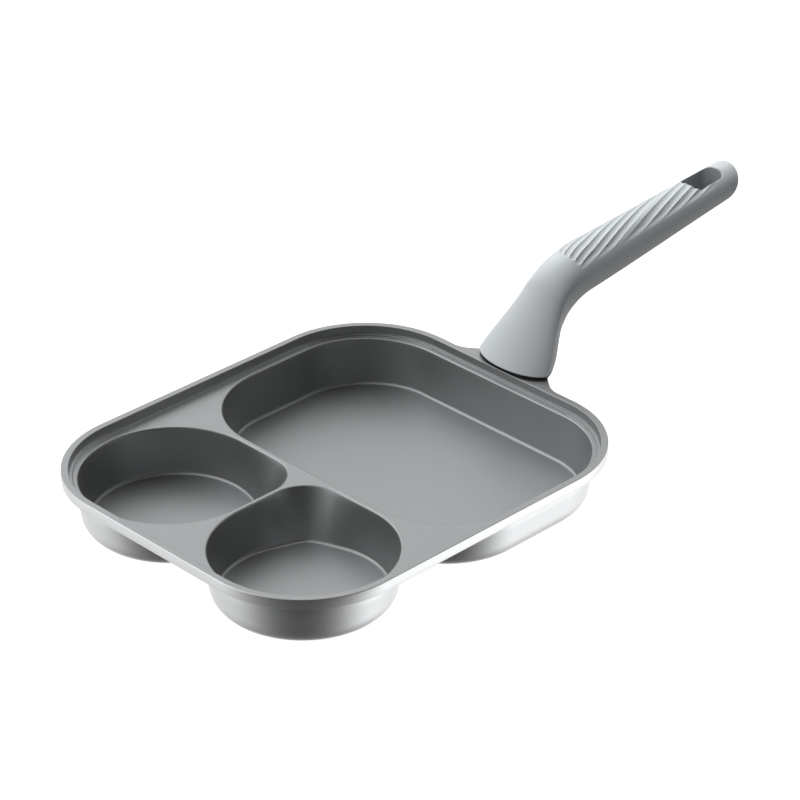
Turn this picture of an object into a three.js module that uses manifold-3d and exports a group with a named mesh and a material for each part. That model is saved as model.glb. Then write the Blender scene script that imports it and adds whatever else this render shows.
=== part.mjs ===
// Breakfast pan: a cast tray with two egg wells and one large well, and a moulded handle on its lug.
// Millimetres, +Z up, +X along the handle. The origin is on the hob, under the middle of the tray.
import * as THREE from 'three';
import { mergeVertices } from 'three/addons/utils/BufferGeometryUtils.js';
import Module from 'manifold-3d';

// Wells
const EGG_RADIUS = 49.8; // rim of an egg well
const EGG_CORNER = 22; // its tighter corner, towards the middle of the tray
const EGG_NOSE = 4.8; // reach of the egg floor's blunt corner beyond the floor's circle
const EGG_NOSE_ROUND = 0.08; // rounding of that corner, in radians about the well
const LARGE_LENGTH = 140.4; // large well along X, at its rim
const WELL_DEPTH = 27; // deck to floor
const FLOOR_INSET = 4; // draft of a wall between rim and floor
const FLOOR_FILLET = 2.4; // wall to floor, inside
const RIM_ROUND = 1; // rounded edge where a well meets the deck
const EGG_WEB = 2.6; // land between the egg wells
const CROSS_WEB = 3.2; // land between the egg wells and the large one
const END_BAND = 8.4; // tray edge to the wells, at the two ends
const SIDE_BAND = 9.6; // tray edge to the egg wells, at the sides
const LARGE_SIDE_BAND = 9.1; // tray edge to the large well, at the sides

// Casting
const WALL = 2.2; // well walls
const FLOOR = 2.6; // well floors
const UNDER_FILLET = 9; // wall to underside, outside
const DECK = 2.6; // deck plate
const DECK_DROP = 5.9; // lip top to deck
const LIP_WIDTH = 4; // raised lip
const LIP_DEPTH = 4.7; // lip top to the ledge inside it
const LIP_ROUND = 0.6; // edges of the lip
const LEDGE_WIDTH = 1.7; // ledge that a lid rests on
const RIM_DRAFT = 0.25; // lean of the lip's and skirt's walls
const SKIRT = 6; // outer wall of the rim
const UNDERCUT = 2.5; // flat underside of the skirt

// Lug and stub
const LUG_HALF_WIDTH = 25.7; // behind the flares
const LUG_BACK_HALF_WIDTH = 10; // at its far end
const LUG_REACH = 23; // from the rim
const LUG_FLARE_REACH = 7; // flare into the rim, along X
const LUG_FLARE_SPREAD = 9.3; // the same flare, along Y
const LUG_ROOT = 2; // overlap with the rim
const STUB_HALF_WIDTH = 13;
const STUB_HALF_DEPTH = 5.4;
const STUB_CORNER = 2.5;
const STUB_HEIGHT = 21;
const STUB_TAPER = 1.2; // lost on each side over the stub's height
const STUB_FRONT_WALL = 5.5; // moulding in front of the stub, at the foot

// Handle
const FOOT_LAP = 4.5; // the foot's front reaches this far over the lip
const FOOT_DEPTH = 33.4; // front to back
const FOOT_HALF_WIDTH = 25.6;
const FOOT_FRONT_DEPTH = 10.3; // bowed front, from its middle to the foot's side creases
const FOOT_FULLNESS = 0.955; // less makes those creases sharper, 1 is a smooth oval
const NECK_FRONT_ANGLE = 49.7; // degrees above the hob
const NECK_BACK_ANGLE = 55.8;
const NECK_HALF_WIDTH = 15.2; // where the bend begins
const NECK_FRONT_SHARE = 0.26; // front part of the section there
const BEND_TOP_RADIUS = 48.5;
const BEND_UNDER_RADIUS = 37.7;
const GRIP_TILT = 5.54; // degrees above the hob
const GRIP_REACH = 66.2; // rim to the grip's first station
const GRIP_RISE = 43.2; // lip top to the grip's axis there
const GRIP_LENGTH = 117.1; // from there to the tip
const GRIP_HALF_WIDTH = 14.7;
const TIP_HALF_WIDTH = 12; // the same at the tip
const GRIP_TOP = 14.7; // axis to the top line, at the first station
const GRIP_TOP_TIP = 11.15; // the same at the tip
const GRIP_UNDER = 14.1; // axis to the under line, at the first station
const GRIP_UNDER_TIP = 9.6; // the same at the tip
const GRIP_FRONT_SHARE = 0.5; // top part of the section there
const TIP_LEAN = 5.3; // the top line ends this far beyond the grip's length, the under line as far before it
const TIP_ROUND = 6.5; // length of the rounded end
const TIP_FULLNESS = 4.4; // 2 is an ellipse, more is blunter
const TIP_FLAT = 1e-3; // keeps the last ring of the tip open
const SLOT_LENGTH = 24; // hanging slot
const SLOT_WIDTH = 15;
const SLOT_CORNER = 4.5;
const SLOT_END_WALL = 8.4; // slot to tip

// Twisted flutes of the grip
const COLUMNS = 64; // lines of points round the handle
const FLUTE_COLUMNS = 3; // columns from crest to crest
const LAND_COLUMNS = 2; // width of the one wide land between the flutes
const LAND_COLUMN = 15; // middle of that land at the first flute ring, counted from the top towards -Y
const FLUTE_DEPTH = 1.2;
const FLUTE_PITCH = 310; // length of grip to one full turn
const FLUTE_LEAD = 11.2; // flutes begin this far before the end of the bend
const FLUTE_TILT = 5.5; // they begin this much earlier on top than at the sides
const TWIST_LEAD = 3; // the twist begins this far before the flutes
const FLUTE_STEP = 0.9; // length of the step where they begin
const FLUTE_FULL_ANGLE = 42; // degrees from the top where they begin to fade
const FLUTE_GONE_ANGLE = 58; // degrees from the top where they are gone
const FLUTE_FULL_RUN = 32.5; // distance from the tip where they begin to fade
const FLUTE_GONE_RUN = 19.5; // distance from the tip where they are gone

// Fastening
const SCREW_RADIUS = 2.5;
const SCREW_LENGTH = 12.2; // under the head
const HEAD_RADIUS = 4.5;
const HEAD_HEIGHT = 2.4;
const HEAD_ROUND = 0.8;
const FLAT_WASHER_RADIUS = 5;
const FLAT_WASHER = 0.8;
const SPRING_WASHER_RADIUS = 4.4;
const SPRING_WASHER = 1;
const SPRING_SLIT = 0.9;
const SCREW_HEIGHT = 14; // above the lug, on the middle of the stub
const SEAT_WALL = 4.6; // moulding under the flat washer
const GASKET = 1.5;
const GASKET_MARGIN = 0.5; // gasket inside the foot's outline

// Clearances and smoothness
const GAP = 0.25; // between pieces that touch
const SOCKET_GAP = 0.35; // socket round the stub
const SCREW_GAP = 0.3; // holes round the screw
const RECESS_GAP = 0.5; // recess round the flat washer
const CUT_OVER = 5; // cutters run this far past a face
const SAME_POINT = 1e-3; // points closer than this are one
const STRAIGHT_RUN = 20; // a longer straight side of an outline may be divided
const CORNER_STEPS = 11;
const FILLET_STEPS = 3;
const ROUND_STEPS = 24;
const NECK_RINGS = 5;
const BEND_RINGS = 4;
const FLUTED_BEND_RINGS = 3;
const GRIP_RINGS = 14;
const TIP_RINGS = 7;

// Worked-out sizes
const TRAY_HEIGHT = FLOOR + WELL_DEPTH + DECK_DROP;
const DECK_Z = TRAY_HEIGHT - DECK_DROP;
const HALF_LENGTH = END_BAND + EGG_RADIUS + (CROSS_WEB + LARGE_LENGTH) / 2;
const HALF_WIDTH = SIDE_BAND + 2 * EGG_RADIUS + EGG_WEB / 2;
const TRAY_CORNER = EGG_RADIUS + SIDE_BAND;
const LUG_Z = TRAY_HEIGHT;
const FOOT_Z = LUG_Z + GASKET + 2 * GAP;
const FOOT_X = HALF_LENGTH - FOOT_LAP;
const TURN = 2 * Math.PI;
const radians = THREE.MathUtils.degToRad;

const wasm = await Module();
wasm.setup();

// Turns a closed geometry into a solid that can be joined and cut.
function solid(geometry) {
  const bare = geometry.clone();
  bare.deleteAttribute('normal');
  bare.deleteAttribute('uv');
  const merged = mergeVertices(bare);
  const mesh = new wasm.Mesh({
    numProp: 3,
    vertProperties: new Float32Array(merged.attributes.position.array),
    triVerts: new Uint32Array(merged.index.array),
  });
  return new wasm.Manifold(mesh);
}

// Turns a solid back into a geometry.
function geometryOf(body) {
  const mesh = body.getMesh();
  const geometry = new THREE.BufferGeometry();
  geometry.setAttribute('position', new THREE.BufferAttribute(mesh.vertProperties, 3));
  geometry.setIndex(new THREE.BufferAttribute(mesh.triVerts, 1));
  return geometry;
}

// Skins a stack of rings with equal counts, each anticlockwise seen from the last ring, and caps both ends.
function loft(rings) {
  const count = rings[0].length;
  const positions = rings.flat().flatMap((p) => [p.x, p.y, p.z]);
  const index = [];
  for (let r = 0; r + 1 < rings.length; r++) {
    for (let i = 0; i < count; i++) {
      const a = r * count + i;
      const b = r * count + ((i + 1) % count);
      index.push(a, b, b + count, a, b + count, a + count);
    }
  }
  for (const [ring, first] of [[rings[0], true], [rings.at(-1), false]]) {
    const start = first ? 0 : (rings.length - 1) * count;
    for (const [a, b, c] of capTriangles(ring)) {
      index.push(start + a, start + (first ? c : b), start + (first ? b : c));
    }
  }
  const geometry = new THREE.BufferGeometry();
  geometry.setAttribute('position', new THREE.Float32BufferAttribute(positions, 3));
  geometry.setIndex(index);
  return geometry;
}

// Triangulates a planar ring, seen along its own normal.
function capTriangles(ring) {
  const normal = new THREE.Vector3();
  ring.forEach((p, i) => normal.add(new THREE.Vector3().crossVectors(p, ring[(i + 1) % ring.length])));
  normal.normalize();
  const across = new THREE.Vector3(0, 1, 0);
  const up = new THREE.Vector3().crossVectors(normal, across);
  const flat = ring.map((p) => new THREE.Vector2(p.dot(across), p.dot(up)));
  const wound = THREE.ShapeUtils.triangulateShape(flat, []);
  const turn = THREE.ShapeUtils.area(flat);
  return turn > 0 ? wound : wound.map(([a, b, c]) => [a, c, b]);
}

const lift = (outline, z) => outline.map((p) => new THREE.Vector3(p.x, p.y, z));

const boxAbout = (centre, half) => new THREE.Box2(centre.clone().sub(half), centre.clone().add(half));

// Rounded box in plan, anticlockwise; radii start at the +X +Y corner. A positive offset grows it.
function roundedBox(box, radii, offset = 0, straightSteps = 1) {
  const points = [];
  const sides = [[1, 1], [-1, 1], [-1, -1], [1, -1]];
  sides.forEach(([sx, sy], corner) => {
    const radius = radii[corner];
    const centre = new THREE.Vector2(
      sx > 0 ? box.max.x - radius : box.min.x + radius,
      sy > 0 ? box.max.y - radius : box.min.y + radius,
    );
    for (let i = 0; i <= CORNER_STEPS; i++) {
      const angle = (corner + i / CORNER_STEPS) * (Math.PI / 2);
      const arm = new THREE.Vector2(Math.cos(angle), Math.sin(angle)).multiplyScalar(radius + offset);
      points.push(centre.clone().add(arm));
    }
  });
  return withStraights(points, straightSteps);
}

// Drops repeated points and divides each long straight run.
function withStraights(points, steps) {
  const tidy = points.filter((p, i) => p.distanceTo(points.at(i - 1)) > SAME_POINT);
  return tidy.flatMap((p, i) => {
    const next = tidy[(i + 1) % tidy.length];
    const parts = p.distanceTo(next) > STRAIGHT_RUN ? steps : 1;
    return Array.from({ length: parts }, (_, k) => p.clone().lerp(next, k / parts));
  });
}

// Section of a well from the top of its wall to its floor: distance inwards from the rim, and height.
function wallSection(inset, depth, fillet, top) {
  const lean = Math.atan2(inset, depth);
  const run = fillet / Math.tan((Math.PI / 2 + lean) / 2);
  const section = [{ inwards: ((depth - top) * inset) / depth, up: top }];
  for (let i = 0; i <= FILLET_STEPS; i++) {
    const angle = (i / FILLET_STEPS) * (Math.PI / 2 - lean);
    section.push({
      inwards: inset + run - fillet * Math.cos(lean + angle),
      up: fillet * (1 - Math.sin(lean + angle)),
    });
  }
  return section;
}

// Rings of a well: its rim and its floor crease are matched point by point.
function wellRings(rim, crease, inset, section, base) {
  return section.map(({ inwards, up }) => rim.map((p, i) => {
    const path = crease[i].clone().sub(p);
    const reach = path.length();
    const length = inwards <= inset ? (inwards / inset) * reach : reach + inwards - inset;
    const point = p.clone().addScaledVector(path.normalize(), length);
    return new THREE.Vector3(point.x, point.y, base + up);
  }));
}

// The room inside a well, with the rounded edge at the deck.
function wellCutter(well) {
  const section = wallSection(FLOOR_INSET, WELL_DEPTH, FLOOR_FILLET, WELL_DEPTH - RIM_ROUND);
  const rings = wellRings(well.rim(0), well.crease(0), FLOOR_INSET, section, FLOOR).reverse();
  for (let i = 1; i <= FILLET_STEPS; i++) {
    const angle = (i / FILLET_STEPS) * (Math.PI / 2);
    const grow = RIM_ROUND * (1 - Math.cos(angle));
    rings.push(lift(well.rim(grow), DECK_Z - RIM_ROUND * (1 - Math.sin(angle))));
  }
  rings.push(lift(well.rim(RIM_ROUND), DECK_Z + CUT_OVER));
  return solid(loft(rings));
}

// The outside of a well, from inside the deck plate to the hob.
function wellShell(well) {
  const inset = (FLOOR_INSET * (WELL_DEPTH + FLOOR)) / WELL_DEPTH;
  const section = wallSection(inset, WELL_DEPTH + FLOOR, UNDER_FILLET, WELL_DEPTH + FLOOR - DECK / 2);
  const crease = well.crease(WALL - inset + FLOOR_INSET);
  return solid(loft(wellRings(well.rim(WALL), crease, inset, section, 0).reverse()));
}

// Large well: a rounded box from side to side of the tray, next to the handle.
function largeWell() {
  const end = HALF_LENGTH - END_BAND;
  const side = HALF_WIDTH - LARGE_SIDE_BAND;
  const box = new THREE.Box2(new THREE.Vector2(end - LARGE_LENGTH, -side), new THREE.Vector2(end, side));
  const radii = Array(4).fill(TRAY_CORNER - LARGE_SIDE_BAND);
  return {
    rim: (offset) => roundedBox(box, radii, offset),
    crease: (offset) => roundedBox(box, radii, offset - FLOOR_INSET),
  };
}

// Egg well on one side: round on three corners, squarer towards the middle of the tray.
function eggWell(side) {
  const centre = new THREE.Vector2(
    EGG_RADIUS + END_BAND - HALF_LENGTH,
    side * (EGG_RADIUS + EGG_WEB / 2),
  );
  const box = boxAbout(centre, new THREE.Vector2(EGG_RADIUS, EGG_RADIUS));
  const radii = Array(4).fill(EGG_RADIUS);
  radii[side > 0 ? 3 : 0] = EGG_CORNER;
  const rim = (offset) => roundedBox(box, radii, offset, FILLET_STEPS);
  const noseAngle = (-side * Math.PI) / 4;
  const crease = (offset) => rim(0).map((p) => {
    const arm = p.clone().sub(centre);
    const turn = Math.abs(Math.atan2(Math.sin(arm.angle() - noseAngle), Math.cos(arm.angle() - noseAngle)));
    const radius = noseRadius(EGG_RADIUS - FLOOR_INSET + offset, turn);
    return arm.setLength(radius).add(centre);
  });
  return { rim, crease };
}

// Circle with one blunt corner: two lines tangent to it that meet at the nose.
function noseRadius(radius, turn) {
  const spread = Math.acos(radius / (radius + EGG_NOSE));
  const rounded = Math.hypot(turn, EGG_NOSE_ROUND);
  return rounded < spread ? radius / Math.cos(spread - rounded) : radius;
}

// Deck plate with the raised lip, the ledge inside it and the skirt outside it.
function trayPlate() {
  const foot = LIP_WIDTH + RIM_DRAFT;
  const ledge = foot + LEDGE_WIDTH;
  const section = [
    [ledge + RIM_DRAFT, DECK_DROP + DECK],
    [UNDERCUT, SKIRT],
    [RIM_DRAFT, SKIRT],
    [0, LIP_ROUND],
    [LIP_ROUND, 0],
    [LIP_WIDTH - LIP_ROUND, 0],
    [LIP_WIDTH, LIP_ROUND],
    [foot, LIP_DEPTH],
    [ledge, LIP_DEPTH],
    [ledge + RIM_DRAFT, DECK_DROP],
  ];
  const box = boxAbout(new THREE.Vector2(), new THREE.Vector2(HALF_LENGTH, HALF_WIDTH));
  const radii = Array(4).fill(TRAY_CORNER);
  const ring = ([inwards, down]) => lift(roundedBox(box, radii, -inwards), TRAY_HEIGHT - down);
  return solid(loft(section.map(ring)));
}

// Lug, flush with the lip and as thick as the skirt: it flares into the rim and narrows under the foot.
function lug() {
  const wide = LUG_HALF_WIDTH + LUG_FLARE_SPREAD;
  const left = [
    [HALF_LENGTH + LUG_REACH, LUG_BACK_HALF_WIDTH],
    [HALF_LENGTH + LUG_FLARE_REACH, LUG_HALF_WIDTH],
    [HALF_LENGTH, wide],
    [HALF_LENGTH - LUG_ROOT, wide],
  ];
  const right = left.map(([x, y]) => [x, -y]).reverse();
  const outline = [...left, ...right].map(([x, y]) => new THREE.Vector2(x, y));
  return solid(loft([lift(outline, LUG_Z - SKIRT), lift(outline, LUG_Z)]));
}

// Middle line of the stub, which leans as the neck does.
function stubCentre(up) {
  const lean = 1 / Math.tan(radians((NECK_FRONT_ANGLE + NECK_BACK_ANGLE) / 2));
  return FOOT_X + STUB_FRONT_WALL + STUB_HALF_DEPTH + up * lean;
}

// The stub, or with a gap the socket round it, between two heights above the lug.
function stubSolid(gap, from, to) {
  const rings = [from, to].map((up) => {
    const grow = gap - (STUB_TAPER * Math.max(up, 0)) / STUB_HEIGHT;
    const centre = new THREE.Vector2(stubCentre(up), 0);
    const box = boxAbout(centre, new THREE.Vector2(STUB_HALF_DEPTH, STUB_HALF_WIDTH));
    return lift(roundedBox(box, Array(4).fill(STUB_CORNER), grow), LUG_Z + up);
  });
  return solid(loft(rings));
}

// Direction of the screw, square to the back of the neck, from its head inwards.
const SCREW_TURN = radians(90 - NECK_BACK_ANGLE);
const SCREW_AXIS = new THREE.Vector3(-Math.cos(SCREW_TURN), 0, Math.sin(SCREW_TURN));

// Point on the screw's axis in the flat washer's seat.
function screwSeat() {
  const middle = new THREE.Vector3(stubCentre(SCREW_HEIGHT), 0, LUG_Z + SCREW_HEIGHT);
  const wall = (STUB_HALF_DEPTH + SOCKET_GAP) * Math.cos(SCREW_TURN) + SEAT_WALL;
  return middle.addScaledVector(SCREW_AXIS, -wall);
}

// Moves a geometry made along +Z onto the screw's axis, so far from the seat towards the head.
function alongScrew(geometry, outwards) {
  const turn = new THREE.Quaternion().setFromUnitVectors(new THREE.Vector3(0, 0, 1), SCREW_AXIS);
  const place = screwSeat().addScaledVector(SCREW_AXIS, -outwards);
  return geometry.applyMatrix4(new THREE.Matrix4().compose(place, turn, new THREE.Vector3(1, 1, 1)));
}

// Round bar along +Z between two heights.
function bar(radius, from, to) {
  const geometry = new THREE.CylinderGeometry(radius, radius, to - from, ROUND_STEPS);
  return geometry.rotateX(Math.PI / 2).translate(0, 0, (from + to) / 2);
}

// Revolves a profile of radius and height pairs about +Z.
function revolve(profile) {
  const points = profile.map(([radius, z]) => new THREE.Vector2(radius, z));
  return new THREE.LatheGeometry(points, ROUND_STEPS).rotateX(Math.PI / 2);
}

// The casting: plate, wells, lug and stub.
function panBody() {
  const wells = [largeWell(), eggWell(1), eggWell(-1)];
  let body = trayPlate();
  for (const well of wells) {
    body = body.add(wellShell(well));
  }
  for (const well of wells) {
    body = body.subtract(wellCutter(well));
  }
  body = body.add(lug()).add(stubSolid(0, -SKIRT / 2, STUB_HEIGHT));
  const reach = SCREW_LENGTH + CUT_OVER;
  return geometryOf(body.subtract(solid(alongScrew(bar(SCREW_RADIUS + SCREW_GAP, 0, reach), 0))));
}

// Stations along the handle, which starts at 0 on the foot's end face.
const BEND_START = 1;
const BEND_END = 2;
const TIP = 3;

// Edge of the handle in the XZ plane: straight neck, tangent bend, straight grip.
function rail(foot, angle, radius, gripStart, gripEnd) {
  const rise = new THREE.Vector2(Math.cos(radians(angle)), Math.sin(radians(angle)));
  const run = gripEnd.clone().sub(gripStart).normalize();
  const turn = radians(angle) - run.angle();
  const along = gripStart.clone().sub(foot).cross(run) / rise.cross(run);
  const tangent = radius * Math.tan(turn / 2);
  const bendStart = foot.clone().addScaledVector(rise, along - tangent);
  const centre = bendStart.clone().add(new THREE.Vector2(rise.y, -rise.x).multiplyScalar(radius));
  const from = radians(angle) + Math.PI / 2;
  const path = new THREE.Path().moveTo(foot.x, foot.y).lineTo(bendStart.x, bendStart.y);
  path.absarc(centre.x, centre.y, radius, from, from - turn, true);
  path.lineTo(gripEnd.x, gripEnd.y);
  const spans = path.curves.filter((curve) => curve.getLength() > SAME_POINT);
  return {
    lengths: spans.map((curve) => curve.getLength()),
    at: (u) => {
      const span = Math.min(Math.floor(u), spans.length - 1);
      return spans[span].getPoint(u - span);
    },
  };
}

// Grip axis and the two edges of the handle's side view.
const GRIP_DIRECTION = new THREE.Vector2(Math.cos(radians(GRIP_TILT)), Math.sin(radians(GRIP_TILT)));
const GRIP_UP = new THREE.Vector2(-GRIP_DIRECTION.y, GRIP_DIRECTION.x);
const GRIP_ORIGIN = new THREE.Vector2(HALF_LENGTH + GRIP_REACH, TRAY_HEIGHT + GRIP_RISE);

function gripPoint(along, up) {
  return GRIP_ORIGIN.clone().addScaledVector(GRIP_DIRECTION, along).addScaledVector(GRIP_UP, up);
}

const topRail = rail(
  new THREE.Vector2(FOOT_X, FOOT_Z),
  NECK_FRONT_ANGLE,
  BEND_TOP_RADIUS,
  gripPoint(0, GRIP_TOP),
  gripPoint(GRIP_LENGTH + TIP_LEAN, GRIP_TOP_TIP),
);
const underRail = rail(
  new THREE.Vector2(FOOT_X + FOOT_DEPTH, FOOT_Z),
  NECK_BACK_ANGLE,
  BEND_UNDER_RADIUS,
  gripPoint(0, -GRIP_UNDER),
  gripPoint(GRIP_LENGTH - TIP_LEAN, -GRIP_UNDER_TIP),
);

// Value at a station, on a smooth curve through the values at the foot, bend start, bend end and tip.
function eased(station, values) {
  const curve = new THREE.SplineCurve(values.map((value, i) => new THREE.Vector2(i, value)));
  return curve.getPoint(station / (values.length - 1)).y;
}

// Distance along the top edge at a station.
function alongTop(station) {
  const span = Math.min(Math.floor(station), topRail.lengths.length - 1);
  const before = topRail.lengths.slice(0, span).reduce((sum, length) => sum + length, 0);
  return before + (station - span) * topRail.lengths[span];
}

// Station where the flutes begin, in the bend.
const FLUTE_START = BEND_END - FLUTE_LEAD / topRail.lengths[1];

// Lean of a ring: most where the flutes begin, none from the end of the bend on.
function ringLean(station) {
  const away = Math.abs(station - FLUTE_START) / (BEND_END - FLUTE_START);
  return FLUTE_TILT * Math.max(1 - away, 0);
}

// Flute depth of one column on the handle's skin.
function fluteDepth(column, angle, station) {
  const round = THREE.MathUtils.euclideanModulo(column - LAND_COLUMN + COLUMNS / 2, COLUMNS) - COLUMNS / 2;
  const past = Math.abs(round) - LAND_COLUMNS / 2;
  if (past <= 0 || past % FLUTE_COLUMNS === 0 || station <= FLUTE_START) {
    return 0;
  }
  const fromTop = THREE.MathUtils.radToDeg(Math.abs(Math.atan2(Math.sin(angle), Math.cos(angle))));
  const fromTip = alongTop(TIP) - alongTop(station);
  const fade = 1 - THREE.MathUtils.smoothstep(fromTop, FLUTE_FULL_ANGLE, FLUTE_GONE_ANGLE);
  return FLUTE_DEPTH * fade * THREE.MathUtils.smoothstep(fromTip, FLUTE_GONE_RUN, FLUTE_FULL_RUN);
}

// Height of an oval arc over its chord: 1 in the middle, 0 at its ends, which are sharper with less fullness.
function arch(across, fullness) {
  const end = Math.sqrt(1 - fullness ** 2);
  return (Math.sqrt(1 - (fullness * across) ** 2) - end) / (1 - end);
}

// One ring of the handle. The columns turn with the flutes, so each crest is one line of edges.
function handleRing(station, scale = 1, grow = 0) {
  const top = topRail.at(station - ringLean(station) / topRail.lengths[1]);
  const under = underRail.at(station + ringLean(station) / underRail.lengths[1]);
  const footShare = FOOT_FRONT_DEPTH / FOOT_DEPTH;
  const share = eased(station, [footShare, NECK_FRONT_SHARE, GRIP_FRONT_SHARE, GRIP_FRONT_SHARE]);
  const middle = top.clone().lerp(under, share);
  const halfWidth = eased(station, [FOOT_HALF_WIDTH, NECK_HALF_WIDTH, GRIP_HALF_WIDTH, TIP_HALF_WIDTH]);
  const fullness = THREE.MathUtils.lerp(FOOT_FULLNESS, 1, Math.min(station / BEND_START, 1));
  const turned = Math.max(alongTop(station) - alongTop(FLUTE_START) + TWIST_LEAD, 0);
  return Array.from({ length: COLUMNS }, (_, column) => {
    const angle = (turned / FLUTE_PITCH - column / COLUMNS) * TURN;
    const edge = Math.cos(angle) > 0 ? top : under;
    const side = edge.clone().sub(middle).multiplyScalar(arch(Math.sin(angle), fullness));
    const spoke = new THREE.Vector3(side.x, halfWidth * Math.sin(angle), side.y);
    const length = spoke.length() * scale - fluteDepth(column, angle, station) + grow;
    spoke.setLength(length);
    return spoke.add(new THREE.Vector3(middle.x, 0, middle.y));
  });
}

// Evenly spaced stations from one to another, without the first.
function stations(from, to, count) {
  return Array.from({ length: count }, (_, i) => THREE.MathUtils.lerp(from, to, (i + 1) / count));
}

// The handle's skin, from the foot's end face to the rounded tip.
function handleSkin() {
  const fluteRing = FLUTE_START + FLUTE_STEP / topRail.lengths[1];
  const tipStart = TIP - TIP_ROUND / topRail.lengths[2];
  const rings = [
    0,
    ...stations(0, BEND_START, NECK_RINGS),
    ...stations(BEND_START, FLUTE_START, BEND_RINGS),
    fluteRing,
    ...stations(fluteRing, BEND_END, FLUTED_BEND_RINGS),
    ...stations(BEND_END, tipStart, GRIP_RINGS),
  ].map((station) => handleRing(station));
  for (const angle of stations(0, Math.PI / 2, TIP_RINGS)) {
    const scale = Math.max(1 - Math.sin(angle) ** TIP_FULLNESS, TIP_FLAT) ** (1 / TIP_FULLNESS);
    rings.push(handleRing(tipStart + (TIP - tipStart) * Math.sin(angle), scale));
  }
  return solid(loft(rings));
}

// Cutter of the hanging slot, square to the grip's axis.
function slotCutter() {
  const box = boxAbout(new THREE.Vector2(), new THREE.Vector2(SLOT_LENGTH / 2, SLOT_WIDTH / 2));
  const outline = roundedBox(box, Array(4).fill(SLOT_CORNER));
  const middle = GRIP_LENGTH - SLOT_END_WALL - SLOT_LENGTH / 2;
  const ends = [-GRIP_UNDER - CUT_OVER, GRIP_TOP + CUT_OVER];
  return solid(loft(ends.map((up) => outline.map((p) => {
    const place = gripPoint(middle + p.x, up);
    return new THREE.Vector3(place.x, p.y, place.y);
  }))));
}

// The moulded handle: skin, socket for the stub, recessed screw hole and hanging slot.
function handle() {
  const recess = alongScrew(bar(FLAT_WASHER_RADIUS + RECESS_GAP, -FOOT_DEPTH, 0), 0);
  const bore = alongScrew(bar(SCREW_RADIUS + SCREW_GAP, -CUT_OVER, SEAT_WALL + CUT_OVER), 0);
  const socket = stubSolid(SOCKET_GAP, -GAP - GASKET, STUB_HEIGHT + SOCKET_GAP);
  return geometryOf(handleSkin()
    .subtract(socket)
    .subtract(solid(recess))
    .subtract(solid(bore))
    .subtract(slotCutter()));
}

// The gasket under the foot, with a hole for the stub.
function footGasket() {
  const foot = handleRing(0, 1, -GASKET_MARGIN);
  const rings = [0, GASKET].map((up) => foot.map((p) => new THREE.Vector3(p.x, p.y, LUG_Z + GAP + up)));
  return geometryOf(solid(loft(rings)).subtract(stubSolid(SOCKET_GAP, -GAP, GASKET + 2 * GAP)));
}

// The screw, with a rounded head.
function handleScrew() {
  const profile = [[0, 0], [HEAD_RADIUS - HEAD_ROUND, 0]];
  for (const angle of stations(-Math.PI / 2, 0, FILLET_STEPS)) {
    profile.push([HEAD_RADIUS - HEAD_ROUND * (1 - Math.cos(angle)), HEAD_ROUND * (1 + Math.sin(angle))]);
  }
  profile.push([HEAD_RADIUS, HEAD_HEIGHT], [SCREW_RADIUS, HEAD_HEIGHT]);
  profile.push([SCREW_RADIUS, HEAD_HEIGHT + SCREW_LENGTH], [0, HEAD_HEIGHT + SCREW_LENGTH]);
  return alongScrew(revolve(profile), 3 * GAP + FLAT_WASHER + SPRING_WASHER + HEAD_HEIGHT);
}

// A washer on the screw, with a slit where it is a spring washer.
function washer(radius, thickness, slit, outwards) {
  const shape = new THREE.Shape();
  const hole = SCREW_RADIUS + SCREW_GAP;
  if (slit > 0) {
    const outer = Math.asin(slit / 2 / radius);
    const inner = Math.asin(slit / 2 / hole);
    shape.absarc(0, 0, radius, outer, TURN - outer, false);
    shape.absarc(0, 0, hole, TURN - inner, inner, true);
  } else {
    shape.absarc(0, 0, radius, 0, TURN, false);
    shape.holes.push(new THREE.Path().absarc(0, 0, hole, 0, TURN, true));
  }
  const options = { depth: thickness, bevelEnabled: false, curveSegments: ROUND_STEPS };
  return alongScrew(new THREE.ExtrudeGeometry(shape, options), outwards + thickness);
}

const castMetal = new THREE.MeshStandardMaterial({ color: 0x8d9092, roughness: 0.45, metalness: 0.6 });
const moulding = new THREE.MeshStandardMaterial({ color: 0xa5acae, roughness: 0.5, metalness: 0 });
const blackRubber = new THREE.MeshStandardMaterial({ color: 0x161718, roughness: 0.8, metalness: 0 });
const zincSteel = new THREE.MeshStandardMaterial({ color: 0xb9bcc0, roughness: 0.35, metalness: 1 });

const pan = new THREE.Group();
const fastening = new THREE.Group();

function place(group, name, geometry, material) {
  const mesh = new THREE.Mesh(geometry, material);
  mesh.name = name;
  group.add(mesh);
}

place(pan, 'pan_body', panBody(), castMetal);
place(pan, 'handle', handle(), moulding);
place(pan, 'foot_gasket', footGasket(), blackRubber);
place(fastening, 'flat_washer', washer(FLAT_WASHER_RADIUS, FLAT_WASHER, 0, GAP), zincSteel);
place(
  fastening,
  'spring_washer',
  washer(SPRING_WASHER_RADIUS, SPRING_WASHER, SPRING_SLIT, 2 * GAP + FLAT_WASHER),
  zincSteel,
);
place(fastening, 'handle_screw', handleScrew(), zincSteel);
pan.add(fastening);

export default pan;
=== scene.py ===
"""Breakfast pan: a coated casting with three wells, and a moulded handle with twisted flutes."""

import logging
import math
from collections.abc import Callable
from dataclasses import dataclass
from enum import IntEnum
from functools import cached_property

import bmesh
import bpy
from bmesh.types import BMEdge, BMesh, BMFace, BMVert
from mathutils import Matrix, Vector


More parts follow.
